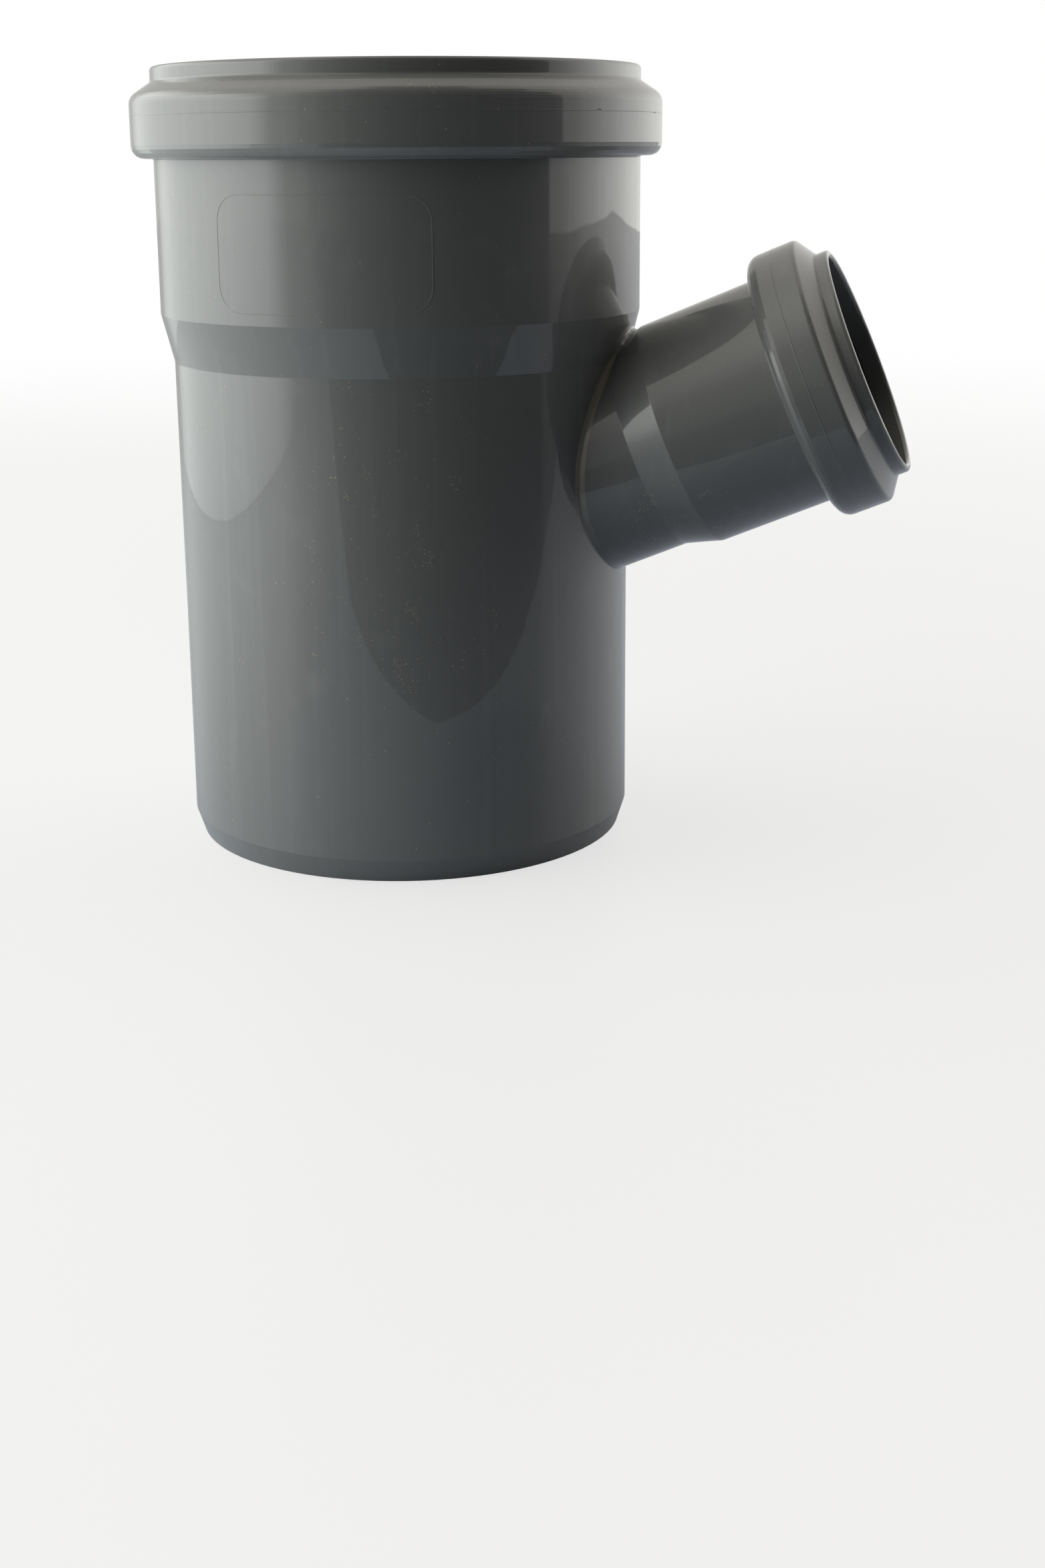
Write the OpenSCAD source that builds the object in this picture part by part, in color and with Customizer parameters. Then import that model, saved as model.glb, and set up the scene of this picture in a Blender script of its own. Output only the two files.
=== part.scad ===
// Drain pipe branch: a moulded pipe fitting with one small side inlet.
// Origin: centre of the spigot's end face. The main axis is +Z, and the branch leans towards +X.

/* [Main pipe] */
// Outside diameter of the spigot and of the straight body
body_od = 110; // [90:1:130]
// Wall of the straight body
body_wall = 2.7; // [2.2:0.1:3.4]
// Height of the true spigot that another socket takes, chamfer included
spigot_h = 60; // [50:0.5:62]
// Height of the straight body, from the spigot's end to the foot of the taper
straight_h = 117.3; // [114:0.1:160]
// How much the mould's draft widens the body's radius between the spigot and the taper
body_draft = 0.2; // [0:0.05:0.4]
// Height of the taper that leads out to the socket
taper_h = 11.3; // [8:0.1:16]
// Height of the lead-in chamfer on the spigot's end
chamfer_h = 5.5; // [3:0.1:9]
// How far that chamfer draws the wall in at the end
chamfer_in = 1.8; // [0.8:0.1:2]

/* [Main socket] */
// Radial clearance between a seated pipe and the socket's bore
socket_clear = 0.4; // [0.2:0.05:0.5]
// Wall of the socket tube
socket_wall = 2.6; // [2:0.1:3.2]
// Height of the plain socket tube, between the taper and the bead
tube_h = 36; // [28:0.5:50]
// Height of the bead's flat band
bead_h = 13.9; // [12.5:0.1:18]
// How far the bead stands out from the socket tube
bead_out = 5.1; // [4.6:0.1:6.5]
// Height of the sloped shoulder between the bead and the collar
shoulder_h = 3.4; // [2.5:0.1:5]
// Height of the collar at the mouth
collar_h = 3.5; // [3:0.1:6]

/* [Branch] */
// Angle between the main axis and the branch's axis
branch_angle = 67.5; // [60:0.5:87.5]
// Outside diameter of the pipe that the branch takes
branch_od = 50; // [40:1:58]
// Wall of the branch pipe
branch_wall = 2; // [1.8:0.1:2.6]
// How far the branch's top line climbs past the foot of the main taper
branch_climb = 3.4; // [0:0.1:5]
// Length of the plain branch pipe, along its axis, from the body's skin to its taper
stub_len = 7.4; // [5:0.1:20]
// Length of the branch's taper
branch_taper_h = 8.7; // [6:0.1:12]

/* [Branch socket] */
// Radial clearance between a seated pipe and the branch socket's bore
branch_clear = 0.35; // [0.2:0.05:0.45]
// Wall of the branch socket
branch_socket_wall = 2.1; // [1.8:0.1:2.6]
// Length of the plain tube, between the taper and the bead
branch_tube_h = 28.6; // [22:0.1:40]
// Length of the bead's flat band
branch_bead_h = 12; // [11:0.1:16]
// How far the bead stands out from the tube
branch_bead_out = 5; // [4.4:0.1:6]
// Length of the sloped shoulder between the bead and the collar
branch_shoulder_h = 3.4; // [2.5:0.1:5]
// Length of the collar at the mouth
branch_collar_h = 3.1; // [2.6:0.1:6]

/* [Seals] */
// Wall of both beads, round the grooves that hold the seals
groove_wall = 2.6; // [2:0.1:3]
// Play of a seal ring along the axis, in its groove
seal_play = 0.5; // [0.2:0.1:1]
// Thickness of a seal's lip
lip_t = 1.2; // [0.9:0.1:1.5]
// Room between a seal and the pipe's bore, and between its back and the groove
seal_room = 0.1; // [0.05:0.01:0.2]

/* [Edges] */
// Radius of the fillet where the branch leaves the body
root_r = 1; // [0.8:0.1:3]
// Rounding of both beads' feet
bead_round = 3; // [1:0.1:3.4]
// Rounding of the main bead's crest
crest_round = 3.2; // [1:0.1:4]
// Rounding of the branch bead's crest
branch_crest_round = 1.5; // [0.8:0.1:3]
// Rounding of the collars' feet and of the tapers
soft_round = 0.8; // [0.4:0.1:1.2]
// Rounding of the mouths' lips
lip_round = 0.9; // [0.5:0.1:1]
// How much wider each mouth is than its bore, in radius
mouth_flare = 0.3; // [0:0.05:0.4]

/* [Hidden] */
$fn = 128;

body_r = body_od / 2;
waterway_r = body_r - body_wall;
tip_r = body_r - chamfer_in;
top_r = body_r + body_draft;
taper_top = straight_h + taper_h;
bore_r = body_r + socket_clear;
tube_r = bore_r + socket_wall;
bead_foot = taper_top + tube_h;
bead_top = bead_foot + bead_h;
bead_r = tube_r + bead_out;
collar_foot = bead_top + shoulder_h;
rim_z = collar_foot + collar_h;

branch_r = branch_od / 2;
branch_way_r = branch_r - branch_wall;
branch_bore_r = branch_r + branch_clear;
branch_tube_r = branch_bore_r + branch_socket_wall;
branch_taper_foot = body_r / sin(branch_angle) + stub_len;
branch_taper_top = branch_taper_foot + branch_taper_h;
branch_bead_foot = branch_taper_top + branch_tube_h;
branch_bead_top = branch_bead_foot + branch_bead_h;
branch_bead_r = branch_tube_r + branch_bead_out;
branch_collar_foot = branch_bead_top + branch_shoulder_h;
branch_rim = branch_collar_foot + branch_collar_h;

// Height at which the branch's axis crosses the main axis
crossing_z = straight_h + branch_climb - body_r / tan(branch_angle) - branch_r / sin(branch_angle);

// Share of a side that the rounding at each of its ends may take, and steps along a rounding
corner_share = 0.48;
arc_steps = 5;
// How far a cut runs past the face that it opens
past = 1;
// Fillet along the root: steps round the branch, steps across it, and its bite into the walls
root_steps = 72;
root_across = 5;
root_bite = 0.08;
root_depth = 0.9;
// Half the stretch over which a wall's slope is taken, and rounds of halving to find the root
slope_reach = 1;
halvings = 22;
// Seal section: width of the slot behind the lip and height of its roof, as shares of the ring,
// and how far the lip's tip stays above the groove's floor
slot_share = 1 / 3;
bridge_share = 0.62;
lip_lift = 0.4;

grey = [0.42, 0.45, 0.46];
black = [0.06, 0.06, 0.06];

function unit(v) = v / norm(v);

// Share of a side that its end with rounding r may take, given the rounding at its other end
function share_of(r, other) = corner_share * (other == 0 ? 1 : 2 * r / (r + other));

// Points of a corner b between a and c, rounded by r as far as its shares of both sides allow
function corner(a, b, c, r, shares) =
    let (
        u = unit(a - b),
        w = unit(c - b),
        half = acos(u * w) / 2,
        side = min(norm(a - b) * shares[0], norm(c - b) * shares[1]),
        fit_r = min(r, side * tan(half)),
        middle = b + unit(u + w) * fit_r / sin(half),
        from = b + u * fit_r / tan(half) - middle,
        to = b + w * fit_r / tan(half) - middle,
        start = atan2(from.y, from.x),
        swing = atan2(from.x * to.y - from.y * to.x, from * to)
    )
    [for (i = [0 : arc_steps])
        let (at = start + swing * i / arc_steps)
        middle + fit_r * [cos(at), sin(at)]];

// A closed outline of [radius, height, rounding] corners, with its roundings as arcs
function rounded(corners) =
    let (n = len(corners), flat = [for (c = corners) [c[0], c[1]]])
    [for (i = [0 : n - 1])
        let (before = (i + n - 1) % n, after = (i + 1) % n, r = corners[i][2])
        each r == 0
            ? [flat[i]]
            : corner(flat[before], flat[i], flat[after], r,
                [share_of(r, corners[before][2]), share_of(r, corners[after][2])])];

// Outer skin of a socketed run, from its taper's foot to its mouth
function socket_skin(pipe_r, foot, taper_end, tube_r, bead_foot, bead_top, bead_r, crest, collar_foot, rim) = [
    [pipe_r, foot, soft_round],
    [tube_r, taper_end, soft_round],
    [tube_r, bead_foot, soft_round / 2],
    [bead_r, bead_foot, bead_round],
    [bead_r, bead_top, crest],
    [tube_r, collar_foot, soft_round],
    [tube_r, rim, lip_round],
    [0, rim, 0],
];

// How far a groove's roof lies below the outside shoulder, which it follows a wall's thickness in
function roof_drop(shoulder) = groove_wall * tan(atan2(shoulder.x, shoulder.y) / 2);

// Hollow of a socketed run: waterway, stop taper, bore, seal groove and mouth
module socket_hollow(start, way_r, foot, taper_end, bore_r, bead_foot, bead_top, bead_r, shoulder, rim) {
    groove_r = bead_r - groove_wall;
    drop = roof_drop(shoulder);
    mouth_r = bore_r + mouth_flare;
    rotate_extrude()
        polygon(concat(
            rounded([
                [0, start, 0],
                [way_r, start, 0],
                [way_r, foot, soft_round],
                [bore_r, taper_end, soft_round],
                [bore_r, bead_foot + groove_wall, soft_round / 2],
                [groove_r, bead_foot + groove_wall, soft_round],
                [groove_r, bead_top - drop, soft_round],
                [mouth_r, bead_top + shoulder.y - drop, soft_round / 2],
                [mouth_r, rim - lip_round, 0],
            ]),
            [for (i = [1 : arc_steps])
                let (at = 180 - 90 * i / arc_steps)
                [mouth_r + lip_round, rim - lip_round] + lip_round * [cos(at), sin(at)]],
            [[mouth_r + lip_round, rim + past], [0, rim + past]]
        ));
}

module main_skin() {
    rotate_extrude()
        polygon(rounded(concat(
            [[0, 0, 0], [tip_r, 0, 0], [body_r, chamfer_h, 0], [body_r, spigot_h, 0]],
            socket_skin(top_r, straight_h, taper_top, tube_r, bead_foot, bead_top, bead_r, crest_round,
                collar_foot, rim_z)
        )));
}

module main_hollow() {
    socket_hollow(-past, waterway_r, straight_h, taper_top, bore_r, bead_foot, bead_top, bead_r,
        [bead_out, shoulder_h], rim_z);
}

// Puts a shape that is drawn along +Z on the branch's axis
module on_branch_axis() {
    translate([0, 0, crossing_z])
        rotate([0, branch_angle, 0])
            children();
}

module branch_skin() {
    on_branch_axis()
        rotate_extrude()
            polygon(rounded(concat(
                [[0, 0, 0], [branch_r, 0, 0]],
                socket_skin(branch_r, branch_taper_foot, branch_taper_top, branch_tube_r, branch_bead_foot,
                    branch_bead_top, branch_bead_r, branch_crest_round, branch_collar_foot, branch_rim)
            )));
}

module branch_hollow() {
    on_branch_axis()
        socket_hollow(0, branch_way_r, branch_taper_foot, branch_taper_top, branch_bore_r, branch_bead_foot,
            branch_bead_top, branch_bead_r, [branch_bead_out, branch_shoulder_h], branch_rim);
}

// Outside radius of the main pipe at height z, and of the branch at length s along its axis
function main_r_at(z) = lookup(z, [[spigot_h, body_r], [straight_h, top_r], [taper_top, tube_r]]);
function branch_r_at(s) =
    lookup(s, [[branch_taper_foot, branch_r], [branch_taper_top, branch_tube_r]]);
function main_slope(z) = (main_r_at(z + slope_reach) - main_r_at(z - slope_reach)) / (2 * slope_reach);
function branch_slope(s) =
    (branch_r_at(s + slope_reach) - branch_r_at(s - slope_reach)) / (2 * slope_reach);

branch_dir = [sin(branch_angle), 0, cos(branch_angle)];
branch_low = [cos(branch_angle), 0, -sin(branch_angle)];

// Direction straight out of the branch's axis at a turn of phi about it
function branch_out(phi) = cos(phi) * branch_low + sin(phi) * [0, 1, 0];

// Centre of a ball that rolls along the branch at length s, held off its skin by off
function ball_at(phi, s, off) =
    [0, 0, crossing_z] + s * branch_dir
    + (branch_r_at(s) + off * sqrt(1 + pow(branch_slope(s), 2))) * branch_out(phi);

// Length s at which that ball also stands off the main skin by off, by halving
function root_s(phi, off, low, high, left) =
    let (
        mid = (low + high) / 2,
        p = ball_at(phi, mid, off),
        inside = norm([p.x, p.y]) < main_r_at(p.z) + off * sqrt(1 + pow(main_slope(p.z), 2))
    )
    left == 0 ? mid : inside ? root_s(phi, off, mid, high, left - 1) : root_s(phi, off, low, mid, left - 1);

// One section of the fillet: the rolling ball's arc, then a point deep in the two walls
function root_section(phi) =
    let (
        off = root_r - root_bite,
        s = root_s(phi, off, 0, branch_taper_top + root_r * 2, halvings),
        ball = ball_at(phi, s, off),
        main_out = unit([ball.x, ball.y, -main_slope(ball.z) * norm([ball.x, ball.y])]),
        side_out = unit(branch_out(phi) - branch_slope(s) * branch_dir),
        spread = acos(main_out * side_out),
        deep = unit(main_out + side_out),
        reach = root_r / cos(spread / 2) + root_depth
    )
    concat(
        [for (i = [0 : root_across])
            let (t = i / root_across)
            ball - root_r * (sin((1 - t) * spread) * main_out + sin(t * spread) * side_out) / sin(spread)],
        [ball - reach * deep]
    );

// Small fillet where the branch leaves the body
module root_fillet() {
    ring = root_across + 2;
    points = [for (i = [0 : root_steps - 1]) each root_section(360 * i / root_steps)];
    faces = [for (i = [0 : root_steps - 1], j = [0 : ring - 1])
        let (
            a = i * ring + j,
            b = i * ring + (j + 1) % ring,
            c = ((i + 1) % root_steps) * ring + j,
            d = ((i + 1) % root_steps) * ring + (j + 1) % ring
        )
        each [[a, b, d], [a, d, c]]];
    polyhedron(points, faces, convexity = 6);
}

// The moulded fitting: both runs, the fillet between them and the waterways through them
module branch_body() {
    color(grey)
        difference() {
            union() {
                main_skin();
                branch_skin();
                root_fillet();
            }
            main_hollow();
            branch_hollow();
        }
}

// Lip seal ring: a back that sits in the groove and a lip that lies along the seated pipe
module seal_ring(bore_r, bead_foot, bead_top, bead_r, shoulder) {
    foot = bead_foot + groove_wall;
    seal_h = bead_top - roof_drop(shoulder) - foot - seal_play;
    back_out = bead_r - groove_wall - seal_room;
    lip_in = bore_r + seal_room;
    lip_out = lip_in + lip_t;
    slot = (back_out - lip_out) * slot_share;
    bridge = foot + seal_h * bridge_share;
    rotate_extrude()
        polygon(rounded([
            [lip_out + slot, foot, lip_t / 4],
            [back_out, foot, lip_t / 3],
            [back_out, foot + seal_h, lip_t / 3],
            [lip_out, foot + seal_h, lip_t / 2],
            [lip_in, bridge, lip_t / 2],
            [lip_in, foot + lip_lift, 0],
            [lip_in + lip_t / 2, foot + lip_lift, 0],
            [lip_out, bridge - (bridge - foot) / 2, 0],
            [lip_out, bridge - slot, 0],
            [lip_out + slot / 2, bridge, 0],
            [lip_out + slot, bridge - slot, 0],
        ]));
}

module main_seal() {
    color(black)
        seal_ring(bore_r, bead_foot, bead_top, bead_r, [bead_out, shoulder_h]);
}

module branch_seal() {
    color(black)
        on_branch_axis()
            seal_ring(branch_bore_r, branch_bead_foot, branch_bead_top, branch_bead_r,
                [branch_bead_out, branch_shoulder_h]);
}

branch_body();
main_seal();
branch_seal();
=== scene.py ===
"""Looks of a push-fit drain pipe branch: moulded polypropylene, seal rubber, mould marks, studio and camera.

Everything is in metres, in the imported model's own frame. The origin is the centre of the spigot's end face,
+Z runs along the main pipe to its socket, and the branch leans towards +X. The plane Y = 0 halves the
fitting.
"""

from __future__ import annotations

import logging
import math
from dataclasses import dataclass
from enum import Enum
from typing import Any, Iterator, Sequence

import bmesh
import bpy
from mathutils import Euler, Matrix, Vector


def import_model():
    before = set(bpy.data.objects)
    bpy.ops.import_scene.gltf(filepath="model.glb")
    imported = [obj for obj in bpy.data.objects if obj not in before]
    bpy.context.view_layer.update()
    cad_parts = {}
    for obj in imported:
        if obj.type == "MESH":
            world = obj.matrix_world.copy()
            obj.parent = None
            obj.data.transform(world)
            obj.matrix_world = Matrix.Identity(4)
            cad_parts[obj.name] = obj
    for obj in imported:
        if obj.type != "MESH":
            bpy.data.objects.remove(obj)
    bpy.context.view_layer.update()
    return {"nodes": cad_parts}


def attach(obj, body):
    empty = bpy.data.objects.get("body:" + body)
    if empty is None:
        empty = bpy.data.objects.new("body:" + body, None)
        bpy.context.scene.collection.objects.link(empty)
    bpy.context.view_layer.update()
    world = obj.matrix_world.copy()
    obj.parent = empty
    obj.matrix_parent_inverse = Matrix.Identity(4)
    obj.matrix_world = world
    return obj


LOG = logging.getLogger("drain_branch")
MM = 0.001
BODY = "root"
PHOTO_PX = (1568, 2353)
SENSOR_MM = 36.0
# Blender's numbers for a Mix node's colour sockets: the lower and upper inputs, and the output
MIX_UNDER, MIX_OVER, MIX_COLOUR = 6, 7, 2
# What a Mapping node divides an axis by to leave it out
FLATTEN = 1e6


class Slot(Enum):
    """Names of the material slots for the plastic and the rubber. Nothing in this script reads them."""

    PLASTIC = "grey_polypropylene"
    RUBBER = "seal_rubber"


class Node(Enum):
    """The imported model's nodes."""

    BRANCH_BODY = "branch_body"
    MAIN_SEAL = "main_seal"
    BRANCH_SEAL = "branch_seal"


def linear(hex_colour: str) -> tuple[float, float, float, float]:
    """Turn an sRGB hex colour into linear RGBA.

    Args:
        hex_colour: Six hex digits.

    Returns:
        The linear red, green and blue, and an alpha of 1.
    """
    channels = [int(hex_colour[i : i + 2], 16) / 255 for i in (0, 2, 4)]
    curve = [c / 12.92 if c <= 0.04045 else ((c + 0.055) / 1.055) ** 2.4 for c in channels]
    return (curve[0], curve[1], curve[2], 1.0)


def per_metre(size_mm: float) -> float:
    """Give the texture scale, in cells a metre, whose cells are size_mm wide."""
    return 1 / (size_mm * MM)


def in_metres(pair_mm: tuple[float, float]) -> tuple[float, float]:
    """Turn a pair of millimetres into metres."""
    return (pair_mm[0] * MM, pair_mm[1] * MM)


def add_node(tree: bpy.types.NodeTree, kind: str, settings: dict[str, Any] | None = None,
             links: dict[Any, Any] | None = None) -> bpy.types.Node:
    """Add one node, with its settings, socket values and incoming links.

    Args:
        tree: The material's or world's node tree.
        kind: Blender's name for the node type, without the ShaderNode prefix.
        settings: Attributes of the node, by name.
        links: Input sockets by name or number, each with a socket to link from or a plain value.

    Returns:
        The new node.
    """
    node = tree.nodes.new("ShaderNode" + kind)
    for name, value in (settings or {}).items():
        setattr(node, name, value)
    for key, source in (links or {}).items():
        if isinstance(source, bpy.types.NodeSocket):
            tree.links.new(source, node.inputs[key])
        else:
            node.inputs[key].default_value = source
    return node


def maths(tree: bpy.types.NodeTree, operation: str, *values: Any) -> bpy.types.NodeSocket:
    """Do one sum on sockets or numbers, and give the result's socket."""
    return add_node(tree, "Math", {"operation": operation}, dict(enumerate(values))).outputs[0]


def distance(tree: bpy.types.NodeTree, place: bpy.types.NodeSocket,
             middle: Sequence[float] = (0.0, 0.0, 0.0)) -> bpy.types.NodeSocket:
    """Measure how far a place lies from a middle, and give the result's socket."""
    return add_node(tree, "VectorMath", {"operation": "DISTANCE"}, {0: place, 1: middle}).outputs["Value"]


def remap(tree: bpy.types.NodeTree, value: bpy.types.NodeSocket, old: tuple[float, float],
          new: tuple[float, float] = (0.0, 1.0), smooth: bool = False) -> bpy.types.NodeSocket:
    """Carry a value from one range to another, and hold it there.

    Args:
        tree: The node tree.
        value: The socket to read.
        old: The value's range. It may run downwards.
        new: What the range's two ends become.
        smooth: Whether the change eases in and out.

    Returns:
        The new value's socket.
    """
    curve = {"interpolation_type": "SMOOTHSTEP"} if smooth else {}
    ends = {"From Min": old[0], "From Max": old[1], "To Min": new[0], "To Max": new[1]}
    return add_node(tree, "MapRange", curve, {"Value": value, **ends}).outputs[0]


def mix_colours(tree: bpy.types.NodeTree, share: bpy.types.NodeSocket, under: Any,
                over: Any) -> bpy.types.NodeSocket:
    """Lay one colour over another.

    Args:
        tree: The node tree.
        share: How much of the upper colour shows.
        under: The lower colour, a socket or linear RGBA.
        over: The upper colour, a socket or linear RGBA.

    Returns:
        The mixed colour's socket.
    """
    mix = add_node(tree, "Mix", {"data_type": "RGBA"}, {"Factor": share, MIX_UNDER: under, MIX_OVER: over})
    return mix.outputs[MIX_COLOUR]


def new_material(name: str) -> tuple[bpy.types.Material, bpy.types.NodeTree]:
    """Make an empty node material.

    Args:
        name: The material's name.

    Returns:
        The material and its empty node tree.
    """
    material = bpy.data.materials.new(name)
    material.use_nodes = True
    material.node_tree.nodes.clear()
    return material, material.node_tree


@dataclass(frozen=True)
class MouldedPolypropylene:
    """Grey polypropylene, injection moulded in a polished steel mould.

    The eye gets a sharp, weak mirror image on top of a broad haze, both from the skin that set against the
    polished steel. The wall that shrank as it cooled bends the image slightly. Flow lines run down the wall,
    and hands have left patches of a thin dull film. The fillet where the branch meets the pipe is paler, a
    painted highlight, and pale dust lies in clusters on the spots where it settled.
    """

    base_hex: str = "7f817f"
    flow_hex: str = "8f918f"
    film_hex: str = "a5a6a3"
    # Painted highlight: the colour that makes the fillet where the branch meets the pipe paler
    root_highlight_hex: str = "b5ada0"
    dust_hex: str = "d6c69c"
    ior: float = 1.49
    mirror_weight: float = 1.0
    mirror_roughness: float = 0.02
    handled_roughness: float = 0.1
    haze_level: float = 0.5
    haze_roughness: float = 0.4
    wave_mm: float = 9.0
    wave_depth_mm: float = 0.01
    flow_width_mm: float = 2.6
    flow_length_mm: float = 160.0
    flow_range: tuple[float, float] = (0.55, 0.8)
    flow_strength: float = 0.35
    smudge_mm: float = 13.0
    film_range: tuple[float, float] = (0.61, 0.8)
    film_strength: float = 0.18
    speck_spacing_mm: float = 0.5
    speck_share: float = 0.27
    speck_strength: tuple[float, float] = (0.25, 1.0)
    cluster_mm: float = 5.0
    cluster_stretch: float = 1.8
    cluster_range: tuple[float, float] = (0.585, 0.65)
    crowding: tuple[float, float] = (0.02, 0.8)
    elsewhere_share: float = 0.05
    # Where dust settled: X, Y, Z and how far it reaches
    dusty_spots_m: tuple[tuple[float, float, float, float], ...] = (
        (0.011, -0.054, 0.094, 0.026), (0.013, -0.053, 0.062, 0.026),
        (0.069, -0.02, 0.084, 0.017), (0.021, -0.059, 0.178, 0.006))
    # The painted highlight's band on the fillet: its distance from the main and the branch axis, its fading
    # edge, and where it starts from below
    root_middle_mm: tuple[float, float] = (55.5, 25.5)
    root_spread_mm: tuple[float, float] = (0.95, 0.6)
    root_bottom_mm: tuple[float, float] = (74.0, 94.0)
    branch_at_m: tuple[float, float, float] = (0.0, 0.0, 0.070858)
    branch_angle_deg: float = 67.5

    def build(self) -> bpy.types.Material:
        """Make the material.

        Returns:
            The node material.
        """
        material, tree = new_material("moulded_polypropylene")
        place = add_node(tree, "TexCoord").outputs["Object"]
        dust, handled = self._dust(tree, place), self._handled(tree, place)
        colour = self._flow(tree, place)
        for share, over in ((maths(tree, "MULTIPLY", handled, self.film_strength), self.film_hex),
                            # Painted highlight along the fillet where the branch meets the pipe
                            (self._root_highlight(tree, place), self.root_highlight_hex),
                            (dust, self.dust_hex)):
            colour = mix_colours(tree, share, colour, linear(over))
        dull = remap(tree, handled, (0.0, 1.0), (self.mirror_roughness, self.handled_roughness))
        waves = self._waves(tree, place)
        shader = add_node(tree, "BsdfPrincipled", links={
            "Base Color": colour,
            "Roughness": self.haze_roughness,
            "IOR": self.ior,
            "Specular IOR Level": self.haze_level,
            "Normal": waves,
            "Coat Weight": maths(tree, "SUBTRACT", self.mirror_weight, dust),
            "Coat Roughness": dull,
            "Coat IOR": self.ior,
            "Coat Normal": waves})
        add_node(tree, "OutputMaterial", links={"Surface": shader.outputs["BSDF"]})
        return material

    def _flow(self, tree: bpy.types.NodeTree, place: bpy.types.NodeSocket) -> bpy.types.NodeSocket:
        """Draw the flow lines that the melt leaves along the main pipe, as a slight change of colour.

        Args:
            tree: The material's node tree.
            place: Where the point lies, in metres.

        Returns:
            The colour socket.
        """
        squeeze = add_node(tree, "Mapping", links={
            "Vector": place, "Scale": (1, 1, self.flow_width_mm / self.flow_length_mm)})
        lines = add_node(tree, "TexNoise", links={
            "Vector": squeeze.outputs[0], "Scale": per_metre(self.flow_width_mm), "Detail": 2.0})
        strength = remap(tree, lines.outputs["Fac"], self.flow_range, (0.0, self.flow_strength))
        return mix_colours(tree, strength, linear(self.base_hex), linear(self.flow_hex))

    def _dust(self, tree: bpy.types.NodeTree, place: bpy.types.NodeSocket) -> bpy.types.NodeSocket:
        """Scatter dust specks about 0.2 mm wide, in clusters on the dusty spots and rarely elsewhere.

        Args:
            tree: The material's node tree.
            place: Where the point lies, in metres.

        Returns:
            The socket that is the speck's strength on a speck and 0 elsewhere.
        """
        cells = add_node(tree, "TexVoronoi", links={
            "Vector": place, "Scale": per_metre(self.speck_spacing_mm)})
        on_speck = maths(tree, "LESS_THAN", cells.outputs["Distance"], self.speck_share)
        stretch = add_node(tree, "Mapping", links={
            "Vector": place, "Scale": (1, 1, 1 / self.cluster_stretch)})
        clusters = add_node(tree, "TexNoise", links={
            "Vector": stretch.outputs[0], "Scale": per_metre(self.cluster_mm), "Detail": 2.0,
            "Roughness": 0.65})
        crowd = remap(tree, clusters.outputs["Fac"], self.cluster_range, self.crowding)
        here: bpy.types.NodeSocket | float = self.elsewhere_share
        for *middle, reach in self.dusty_spots_m:
            near = remap(tree, distance(tree, place, middle), (reach, reach / 2))
            here = maths(tree, "MAXIMUM", here, near)
        draw = add_node(tree, "SeparateColor", links={0: cells.outputs["Color"]})
        there = maths(tree, "LESS_THAN", draw.outputs["Red"], maths(tree, "MULTIPLY", crowd, here))
        pale = remap(tree, draw.outputs["Green"], (0.0, 1.0), self.speck_strength)
        return maths(tree, "MULTIPLY", maths(tree, "MULTIPLY", on_speck, there), pale)

    def _root_highlight(self, tree: bpy.types.NodeTree, place: bpy.types.NodeSocket) -> bpy.types.NodeSocket:
        """Mark the fillet where the branch meets the pipe, where a paler colour is a painted highlight.

        Args:
            tree: The material's node tree.
            place: Where the point lies, in metres.

        Returns:
            The socket that is 1 where both pipes' walls meet and 0 elsewhere.
        """
        frames = (((0.0, 0.0, 0.0), (0.0, 0.0, 0.0)),
                  (self.branch_at_m, (0.0, math.radians(self.branch_angle_deg), 0.0)))
        shares = []
        for (at, turn), middle in zip(frames, self.root_middle_mm):
            flat = add_node(tree, "Mapping", {"vector_type": "TEXTURE"}, {
                "Vector": place, "Location": at, "Rotation": turn, "Scale": (1, 1, FLATTEN)})
            away = maths(tree, "SUBTRACT", distance(tree, flat.outputs[0]), middle * MM)
            shares.append(remap(tree, maths(tree, "ABSOLUTE", away), in_metres(self.root_spread_mm)))
        height = add_node(tree, "SeparateXYZ", links={0: place}).outputs["Z"]
        above = remap(tree, height, in_metres(self.root_bottom_mm))
        return maths(tree, "MULTIPLY", maths(tree, "MULTIPLY", *shares), above)

    def _handled(self, tree: bpy.types.NodeTree, place: bpy.types.NodeSocket) -> bpy.types.NodeSocket:
        """Mark the patches where hands have left a thin dull film.

        Args:
            tree: The material's node tree.
            place: Where the point lies, in metres.

        Returns:
            The socket that is 1 in a patch's middle and 0 off it.
        """
        smudges = add_node(tree, "TexNoise", links={
            "Vector": place, "Scale": per_metre(self.smudge_mm), "Detail": 4.0, "Distortion": 0.4})
        return remap(tree, smudges.outputs["Fac"], self.film_range)

    def _waves(self, tree: bpy.types.NodeTree, place: bpy.types.NodeSocket) -> bpy.types.NodeSocket:
        """Bend the reflections a little, as a shrunk wall does.

        Args:
            tree: The material's node tree.
            place: Where the point lies, in metres.

        Returns:
            The normal socket.
        """
        waves = add_node(tree, "TexNoise", links={
            "Vector": place, "Scale": per_metre(self.wave_mm), "Detail": 1.0})
        bump = add_node(tree, "Bump", links={
            "Strength": 1.0, "Distance": self.wave_depth_mm * MM, "Height": waves.outputs["Fac"]})
        return bump.outputs[0]


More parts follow.
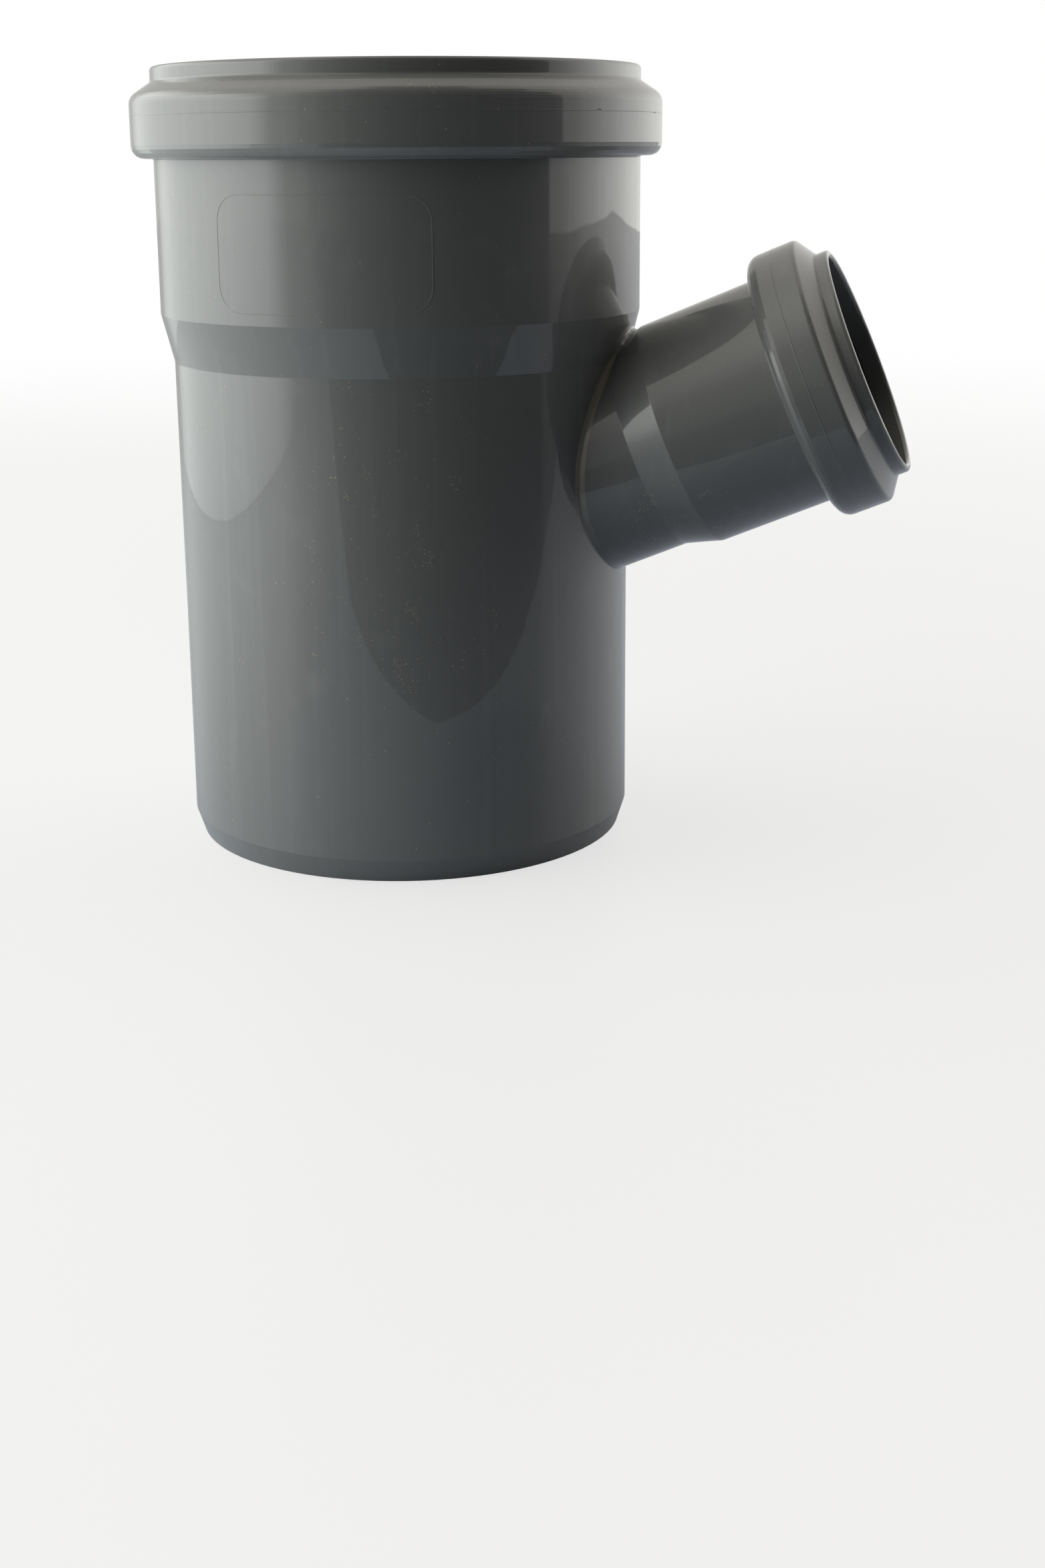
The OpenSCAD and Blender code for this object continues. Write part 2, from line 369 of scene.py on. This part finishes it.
@dataclass(frozen=True)
class SealRubber:
    """Black styrene-butadiene rubber, compression moulded.

    The eye gets a dull black with a fine grain and a greyish bloom of talc.
    """

    base_hex: str = "19191a"
    bloom_hex: str = "2c2c2d"
    ior: float = 1.52
    roughness: float = 0.55
    grain_mm: float = 0.4
    grain_depth_mm: float = 0.02
    bloom_mm: float = 6.0

    def build(self) -> bpy.types.Material:
        """Make the material.

        Returns:
            The node material.
        """
        material, tree = new_material("seal_rubber")
        place = add_node(tree, "TexCoord").outputs["Object"]
        bloom = add_node(tree, "TexNoise", links={
            "Vector": place, "Scale": per_metre(self.bloom_mm), "Detail": 3.0})
        colour = mix_colours(tree, bloom.outputs["Fac"], linear(self.base_hex), linear(self.bloom_hex))
        grain = add_node(tree, "TexNoise", links={"Vector": place, "Scale": per_metre(self.grain_mm)})
        bump = add_node(tree, "Bump", links={
            "Distance": self.grain_depth_mm * MM, "Height": grain.outputs["Fac"]})
        shader = add_node(tree, "BsdfPrincipled", links={
            "Base Color": colour, "Roughness": self.roughness, "IOR": self.ior, "Normal": bump.outputs[0]})
        add_node(tree, "OutputMaterial", links={"Surface": shader.outputs["BSDF"]})
        return material


@dataclass(frozen=True)
class Ridge:
    """The cross-section of a mould mark: a low round-topped ridge."""

    width_mm: float
    height_mm: float
    steps: int = 6

    def profile(self) -> list[tuple[float, float]]:
        """Give the ridge's outline across its run.

        Returns:
            Points (across, out) in millimetres, from one foot to the other, both a little below the surface.
        """
        sunk = 0.5 * self.height_mm
        turn = math.pi / self.steps
        arc = [(-math.cos(k * turn) * self.width_mm / 2, math.sin(k * turn) * self.height_mm)
               for k in range(self.steps + 1)]
        return [(-self.width_mm / 2, -sunk), *arc, (self.width_mm / 2, -sunk)]


@dataclass(frozen=True)
class Nick:
    """A bit of flash that stands on a parting line."""

    turn_deg: float
    half_width_deg: float
    shift_mm: float
    height_mm: float

    def share_at(self, turn_deg: float) -> float:
        """Give how much of the nick there is at a turn, from 0 off it to 1 at its middle."""
        away = abs((turn_deg - self.turn_deg + 180) % 360 - 180)
        return max(0.0, 1 - away / self.half_width_deg)


@dataclass
class MouldMarks:
    """Fine lines that the mould leaves: both beads' parting lines and the edge of the marking insert."""

    plastic: bpy.types.Material
    bead_r_mm: float = 63.1
    bead_part_z_mm: float = 174.3
    branch_bead_r_mm: float = 32.45
    branch_part_mm: float = 110.8
    branch_angle_deg: float = 67.5
    crossing_z_mm: float = 70.858
    socket_r_mm: float = 58.0
    insert_z_mm: tuple[float, float] = (131.4, 157.0)
    insert_az_deg: tuple[float, float] = (-28.0, 23.0)
    insert_corner_mm: float = 6.0
    part_ridge: Ridge = Ridge(width_mm=0.26, height_mm=0.03)
    insert_ridge: Ridge = Ridge(width_mm=0.3, height_mm=0.028)
    nicks: tuple[Nick, ...] = (Nick(-29.4, 0.7, 0.35, 0.22), Nick(-4.5, 0.6, -0.2, 0.16))
    ring_steps: int = 1080

    def build(self) -> None:
        """Make the three marks and put them on the body."""
        branch = Matrix.Translation((0, 0, self.crossing_z_mm * MM))
        branch = branch @ Matrix.Rotation(math.radians(self.branch_angle_deg), 4, "Y")
        self._finish(self._ring("main_parting_line", self.bead_r_mm, self.bead_part_z_mm, Matrix.Identity(4),
                                self.nicks))
        self._finish(self._ring("branch_parting_line", self.branch_bead_r_mm, self.branch_part_mm, branch))
        self._finish(self._insert_edge())

    def _finish(self, piece: bpy.types.Object) -> None:
        """Give a mark its material, slot and body."""
        piece.data.materials.append(self.plastic)
        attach(piece, BODY)
        LOG.info("%s: %d faces", piece.name, len(piece.data.polygons))

    def _ring(self, name: str, radius_mm: float, along_mm: float, axis: Matrix,
              nicks: tuple[Nick, ...] = ()) -> bpy.types.Object:
        """Turn the parting ridge round an axis.

        Args:
            name: The piece's name.
            radius_mm: Radius of the surface that carries the ridge.
            along_mm: Where the ridge lies along the axis.
            axis: Turns +Z into the axis.
            nicks: Bits of flash on the ridge.

        Returns:
            The ring.
        """
        profile = self.part_ridge.profile()
        loops = []
        for k in range(self.ring_steps):
            turn = 2 * math.pi * k / self.ring_steps
            shares = [nick.share_at(math.degrees(turn)) for nick in nicks]
            flash_mm = sum(share * nick.height_mm for share, nick in zip(shares, nicks))
            lift = flash_mm / self.part_ridge.height_mm
            along = along_mm + sum(share * nick.shift_mm for share, nick in zip(shares, nicks))
            loop = []
            for across, out in profile:
                radius = radius_mm + out + max(0.0, out) * lift
                point = Vector((radius * math.cos(turn), radius * math.sin(turn), along + across))
                loop.append(axis @ (point * MM))
            loops.append(loop)
        return sweep(name, loops)

    def _insert_edge(self) -> bpy.types.Object:
        """Run the insert's ridge along a rounded rectangle wrapped on the socket.

        Returns:
            The outline.
        """
        low, high = self.insert_z_mm
        mid_az = math.radians(sum(self.insert_az_deg) / 2)
        half_w = math.radians(self.insert_az_deg[1] - self.insert_az_deg[0]) / 2 * self.socket_r_mm
        half_h = (high - low) / 2
        loops = []
        for point, outward in rounded_rectangle(half_w, half_h, self.insert_corner_mm):
            loop = []
            for across, out in self.insert_ridge.profile():
                along, up = point + outward * across
                turn = mid_az + along / self.socket_r_mm
                radius = self.socket_r_mm + out
                loop.append(Vector((radius * math.sin(turn), -radius * math.cos(turn),
                                    (low + high) / 2 + up)) * MM)
            loops.append(loop)
        return sweep("marking_insert_edge", loops)


def rounded_rectangle(half_w: float, half_h: float, corner: float,
                      corner_steps: int = 10, side_step: float = 1.5) -> Iterator[tuple[Vector, Vector]]:
    """Walk round a rounded rectangle that is centred on the origin.

    Args:
        half_w: Half its width.
        half_h: Half its height.
        corner: Its corner radius.
        corner_steps: Steps round each corner.
        side_step: Longest step along a side.

    Yields:
        Each point with its outward direction.
    """
    for quarter in range(4):
        sign_x = 1 if quarter in (0, 3) else -1
        sign_y = 1 if quarter in (0, 1) else -1
        centre = Vector((sign_x * (half_w - corner), sign_y * (half_h - corner)))
        for k in range(corner_steps + 1):
            angle = (quarter + k / corner_steps) * math.pi / 2
            outward = Vector((math.cos(angle), math.sin(angle)))
            yield centre + outward * corner, outward
        run = 2 * (half_w - corner) if quarter % 2 == 0 else 2 * (half_h - corner)
        ahead = Vector((-outward.y, outward.x))
        steps = max(1, math.ceil(run / side_step))
        for k in range(1, steps):
            yield centre + outward * corner + ahead * run * k / steps, outward


def sweep(name: str, loops: list[list[Vector]]) -> bpy.types.Object:
    """Join closed cross-sections that follow a closed run into one smooth mesh.

    Args:
        name: The object's name.
        loops: The cross-sections, all with as many points, in order round the run.

    Returns:
        The object.
    """
    mesh = bmesh.new()
    rings = [[mesh.verts.new(point) for point in loop] for loop in loops]
    for ring, after in zip(rings, rings[1:] + rings[:1]):
        for k in range(len(ring)):
            j = (k + 1) % len(ring)
            mesh.faces.new((ring[k], ring[j], after[j], after[k]))
    bmesh.ops.recalc_face_normals(mesh, faces=mesh.faces)
    for face in mesh.faces:
        face.smooth = True
    data = bpy.data.meshes.new(name)
    mesh.to_mesh(data)
    mesh.free()
    piece = bpy.data.objects.new(name, data)
    bpy.context.scene.collection.objects.link(piece)
    return piece


@dataclass(frozen=True)
class PhotoCamera:
    """The camera that took the photograph, worked out from the pipe's own circles."""

    place_mm: tuple[float, float, float] = (141.35, -488.22, 165.44)
    turn_deg: tuple[float, float, float] = (75.94, 0.405, 12.79)
    focal_px: float = 3079.0
    centre_px: tuple[float, float] = (784.0, 1000.0)
    clip_m: tuple[float, float] = (0.01, 20.0)

    def build(self) -> None:
        """Make the camera and give it to the scene."""
        data = bpy.data.cameras.new("photo_camera")
        long_side = max(PHOTO_PX)
        data.sensor_width = SENSOR_MM
        data.lens = self.focal_px * SENSOR_MM / long_side
        data.shift_x = (PHOTO_PX[0] / 2 - self.centre_px[0]) / long_side
        data.shift_y = (self.centre_px[1] - PHOTO_PX[1] / 2) / long_side
        data.clip_start, data.clip_end = self.clip_m
        camera = bpy.data.objects.new("photo_camera", data)
        camera.location = Vector(self.place_mm) * MM
        camera.rotation_euler = Euler([math.radians(a) for a in self.turn_deg], "XYZ")
        bpy.context.scene.collection.objects.link(camera)
        bpy.context.scene.camera = camera


@dataclass(frozen=True)
class GlowRow:
    """A light's brightness along one level line: stops of (place across, brightness), in order."""

    level: float
    stops: tuple[tuple[float, float], ...]


@dataclass(frozen=True)
class GlowMap:
    """A light's brightness over its face, blended between a few level rows."""

    span: tuple[float, float]
    rows: tuple[GlowRow, ...]

    def build(self, tree: bpy.types.NodeTree, across: bpy.types.NodeSocket,
              level: bpy.types.NodeSocket) -> bpy.types.NodeSocket:
        """Turn the rows into nodes.

        Args:
            tree: The light's node tree.
            across: Where the point lies across the face, in the units of span.
            level: Where it lies up the face, in the units of the rows' levels.

        Returns:
            The brightness socket.
        """
        peak = max(bright for row in self.rows for _, bright in row.stops)
        share = remap(tree, across, self.span)
        glow = self._ramp(tree, share, self.rows[0], peak)
        for below, row in zip(self.rows, self.rows[1:]):
            blend = remap(tree, level, (below.level, row.level))
            glow = add_node(tree, "Mix", links={
                "Factor": blend, "A": glow, "B": self._ramp(tree, share, row, peak)}).outputs[0]
        return maths(tree, "MULTIPLY", glow, peak)

    def _ramp(self, tree: bpy.types.NodeTree, share: bpy.types.NodeSocket, row: GlowRow,
              peak: float) -> bpy.types.NodeSocket:
        """Put one row's stops on a ramp, as shares of the peak."""
        ramp = add_node(tree, "ValToRGB", links={"Fac": share})
        marks = ramp.color_ramp.elements
        marks.remove(marks[1])
        for k, (place, bright) in enumerate(row.stops):
            position = (place - self.span[0]) / (self.span[1] - self.span[0])
            mark = marks[0] if k == 0 else marks.new(position)
            mark.position = position
            mark.color = (bright / peak, bright / peak, bright / peak, 1)
        return ramp.outputs[0]


# The sky by direction: degrees from the front, growing to the right, at three heights (the elevation's sine)
SKY = GlowMap((-180, 180), (
    GlowRow(0.05, (
        (-180, 0.87), (-150, 0.58), (-122, 0.5), (-98, 0.48), (-76, 0.64), (-56, 0.69), (-38, 0.72),
        (-27, 0.68), (-25, 0.4), (-6, 0.1), (14, 0.0), (89, 0.0), (89.4, 0.8), (95, 0.8), (112, 1.55),
        (130, 2.05), (150, 1.75), (180, 0.87))),
    GlowRow(0.4, (
        (-180, 0.6), (-150, 0.56), (-122, 0.74), (-98, 0.9), (-76, 1.03), (-56, 1.04), (-38, 0.82),
        (-27, 0.55), (-25, 0.33), (-6, 0.0), (89, 0.0), (89.4, 0.72), (95, 0.72), (112, 1.16), (130, 1.5),
        (150, 1.22), (180, 0.6))),
    GlowRow(0.8, (
        (-180, 0.53), (-150, 0.71), (-122, 0.84), (-98, 0.84), (-76, 0.96), (-56, 1.12), (-38, 0.97),
        (-22, 0.34), (-6, 0.0), (89, 0.0), (89.4, 0.46), (95, 0.46), (112, 0.69), (130, 0.77), (150, 0.61),
        (180, 0.53)))))
# The window by place along it, in metres, up to its top, where it fades out
WINDOW_STOPS_M = (-0.7, -0.5, -0.3, -0.1, 0.1, 0.3, 0.5)
WINDOW = GlowMap((WINDOW_STOPS_M[0], WINDOW_STOPS_M[-1]), tuple(
    GlowRow(level, tuple(zip(WINDOW_STOPS_M, brights))) for level, brights in (
        (0.0, (0.0, 0.95, 1.0, 0.95, 0.75, 0.65, 0.0)),
        (0.05, (0.0, 1.55, 1.6, 1.5, 1.05, 0.85, 0.0)),
        (0.12, (0.0, 1.8, 1.9, 1.75, 1.15, 0.92, 0.0)),
        (0.3, (0.0, 1.97, 2.07, 1.88, 1.24, 0.97, 0.0)),
        (0.42, (0.0, 2.05, 2.05, 1.84, 1.5, 1.25, 0.0)),
        (0.6, (0.0, 0.0, 0.0, 0.0, 0.0, 0.0, 0.0)))))


@dataclass(frozen=True)
class Studio:
    """A pale satin table, a soft window on the left, soft light from behind and darkness in front."""

    sky: GlowMap = SKY
    window: GlowMap = WINDOW
    window_x_m: float = -0.5
    low_sky_hex: str = "fffffb"
    high_sky_hex: str = "fffaf3"
    window_hex: str = "fbfffd"
    floor_hex: str = "efefee"
    mirrored_hex: str = "b9c2d2"
    # Painted window light: the table's colour towards the window, seen only by reflections
    painted_window_light_hex: str = "d3dade"
    shade_hex: str = "55627c"
    # Painted darkness: the table's colour past its front edges, seen only by reflections, in place of an
    # unlit room
    painted_dark_hex: str = "17191d"
    floor_ior: float = 1.45
    floor_roughness: float = 0.3
    floor_r_m: float = 4.0
    floor_drop_mm: float = 0.2
    floor_white: tuple[float, float] = (0.7, 1.0)
    floor_fade_m: tuple[float, float] = (0.2, 1.4)
    painted_window_light_m: tuple[float, float] = (0.0, -0.25)
    shade_at_m: tuple[float, float, float] = (0.115, -0.075, 0.0)
    shade_reach_m: tuple[float, float] = (0.11, 0.03)
    shade_strength: float = 0.6
    # The lines that bound the painted darkness, standing for the table's front edges as reflections see them:
    # X and Y of a point on each, in metres, and its slope
    painted_dark_edges: tuple[tuple[float, float, float], ...] = (
        (0.089, -0.172, 1.15), (-0.054, -0.336, 2.25), (0.089, -0.172, 0.39))

    def build(self) -> None:
        """Make the table, the window and the sky."""
        self._floor()
        self._window()
        self._sky()

    def _floor(self) -> None:
        """Lay the table, which the camera sees pale near the pipe and white far off."""
        material, tree = new_material("satin_board")
        place = add_node(tree, "TexCoord").outputs["Object"]
        satin = {"Roughness": self.floor_roughness, "IOR": self.floor_ior}
        mirrored = add_node(tree, "BsdfPrincipled", links={
            "Base Color": self._mirrored_colour(tree, place), **satin})
        pale = add_node(tree, "BsdfPrincipled", links={"Base Color": linear(self.floor_hex), **satin})
        fade = remap(tree, distance(tree, place), self.floor_fade_m, self.floor_white, smooth=True)
        seen = add_node(tree, "MixShader", links={
            0: fade, 1: pale.outputs[0], 2: add_node(tree, "Emission").outputs[0]})
        both = self._by_viewer(tree, mirrored, seen)
        add_node(tree, "OutputMaterial", links={"Surface": both})
        r, z = self.floor_r_m, -self.floor_drop_mm * MM
        self._place("table_top", [(-r, -r, z), (r, -r, z), (r, r, z), (-r, r, z)], material)

    def _mirrored_colour(self, tree: bpy.types.NodeTree, place: bpy.types.NodeSocket) -> bpy.types.NodeSocket:
        """Colour the table as reflections see it.

        It shows painted window light on the window's side, a painted shadow below the branch, and painted
        darkness past the lines that stand for its front edges.

        Args:
            tree: The floor's node tree.
            place: Where the point lies, in metres.

        Returns:
            The colour socket.
        """
        apart = add_node(tree, "SeparateXYZ", links={0: place})
        # Painted window light: the table is drawn lighter towards the window
        side = remap(tree, apart.outputs["X"], self.painted_window_light_m, smooth=True)
        shade = remap(tree, distance(tree, place, self.shade_at_m), self.shade_reach_m,
                      (0.0, self.shade_strength), smooth=True)
        colour = linear(self.mirrored_hex)
        for share, over in ((side, self.painted_window_light_hex), (shade, self.shade_hex),
                            # Painted darkness past the lines that stand for the table's front edges
                            (self._painted_dark_zone(tree, apart), self.painted_dark_hex)):
            colour = mix_colours(tree, share, colour, linear(over))
        return colour

    def _painted_dark_zone(self, tree: bpy.types.NodeTree, place: bpy.types.Node) -> bpy.types.NodeSocket:
        """Mark the floor past the lines that stand for the table's front edges, where darkness is painted for
        reflections.

        Args:
            tree: The floor's node tree.
            place: The node that gives the point's X, Y and Z.

        Returns:
            The socket that is 1 past all the edges.
        """
        past_all, *others = [
            maths(tree, "LESS_THAN", place.outputs["Y"],
                  maths(tree, "MULTIPLY_ADD", place.outputs["X"], slope, y - slope * x))
            for x, y, slope in self.painted_dark_edges]
        for past in others:
            past_all = maths(tree, "MULTIPLY", past_all, past)
        return past_all

    def _window(self) -> None:
        """Stand the window at the left, unseen by the camera. The sky shines through it."""
        material, tree = new_material("softbox_cloth")
        place = add_node(tree, "SeparateXYZ", links={0: add_node(tree, "TexCoord").outputs["Object"]})
        glow = self.window.build(tree, place.outputs["Y"], place.outputs["Z"])
        light = add_node(tree, "Emission", links={"Color": linear(self.window_hex), "Strength": glow})
        both = add_node(tree, "AddShader", links={
            0: light.outputs[0], 1: add_node(tree, "BsdfTransparent").outputs[0]})
        add_node(tree, "OutputMaterial", links={"Surface": both.outputs[0]})
        (near, far), top, x = self.window.span, self.window.rows[-1].level, self.window_x_m
        corners = [(x, near, 0), (x, far, 0), (x, far, top), (x, near, top)]
        self._place("window_softbox", corners, material).visible_camera = False

    def _sky(self) -> None:
        """Light the world by direction. The camera sees plain white."""
        world = bpy.data.worlds.new("studio_sky")
        bpy.context.scene.world = world
        world.use_nodes = True
        tree = world.node_tree
        tree.nodes.clear()
        place = add_node(tree, "SeparateXYZ", links={0: add_node(tree, "TexCoord").outputs["Generated"]})
        forward = maths(tree, "MULTIPLY", place.outputs["Y"], -1.0)
        degrees = maths(tree, "DEGREES", maths(tree, "ARCTAN2", place.outputs["X"], forward))
        height = remap(tree, place.outputs["Z"], (self.sky.rows[0].level, self.sky.rows[-1].level))
        glow = add_node(tree, "Background", links={
            "Color": mix_colours(tree, height, linear(self.low_sky_hex), linear(self.high_sky_hex)),
            "Strength": self.sky.build(tree, degrees, place.outputs["Z"])})
        white = add_node(tree, "Background", links={"Color": (1, 1, 1, 1)})
        add_node(tree, "OutputWorld", links={"Surface": self._by_viewer(tree, glow, white)})

    def _by_viewer(self, tree: bpy.types.NodeTree, mirrored: bpy.types.Node,
                   seen: bpy.types.Node) -> bpy.types.NodeSocket:
        """Show one shader to reflections and another to the camera.

        Args:
            tree: The node tree.
            mirrored: The shader for reflections and light.
            seen: The shader for the camera.

        Returns:
            The shader socket.
        """
        return add_node(tree, "MixShader", links={
            0: add_node(tree, "LightPath").outputs["Is Camera Ray"],
            1: mirrored.outputs[0],
            2: seen.outputs[0]}).outputs[0]

    def _place(self, name: str, corners: list[tuple[float, float, float]],
               material: bpy.types.Material) -> bpy.types.Object:
        """Put one flat piece of the studio in the scene.

        Args:
            name: The piece's name.
            corners: Its four corners, in order.
            material: Its material.

        Returns:
            The piece.
        """
        data = bpy.data.meshes.new(name)
        data.from_pydata(corners, [], [(0, 1, 2, 3)])
        data.materials.append(material)
        piece = bpy.data.objects.new(name, data)
        bpy.context.scene.collection.objects.link(piece)
        return piece


def dress(node: bpy.types.Object, material: bpy.types.Material) -> None:
    """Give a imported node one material."""
    node.data.materials.clear()
    node.data.materials.append(material)
    LOG.info("%s: %s", node.name, material.name)


def main() -> None:
    """Build the looks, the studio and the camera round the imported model."""
    logging.basicConfig(level=logging.INFO, format="%(name)s: %(message)s")
    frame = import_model()
    bpy.context.scene.view_settings.view_transform = "Standard"
    PhotoCamera().build()
    plastic = MouldedPolypropylene().build()
    rubber = SealRubber().build()
    dress(frame["nodes"][Node.BRANCH_BODY.value], plastic)
    dress(frame["nodes"][Node.MAIN_SEAL.value], rubber)
    dress(frame["nodes"][Node.BRANCH_SEAL.value], rubber)
    MouldMarks(plastic).build()
    Studio().build()


if __name__ == "__main__":
    main()
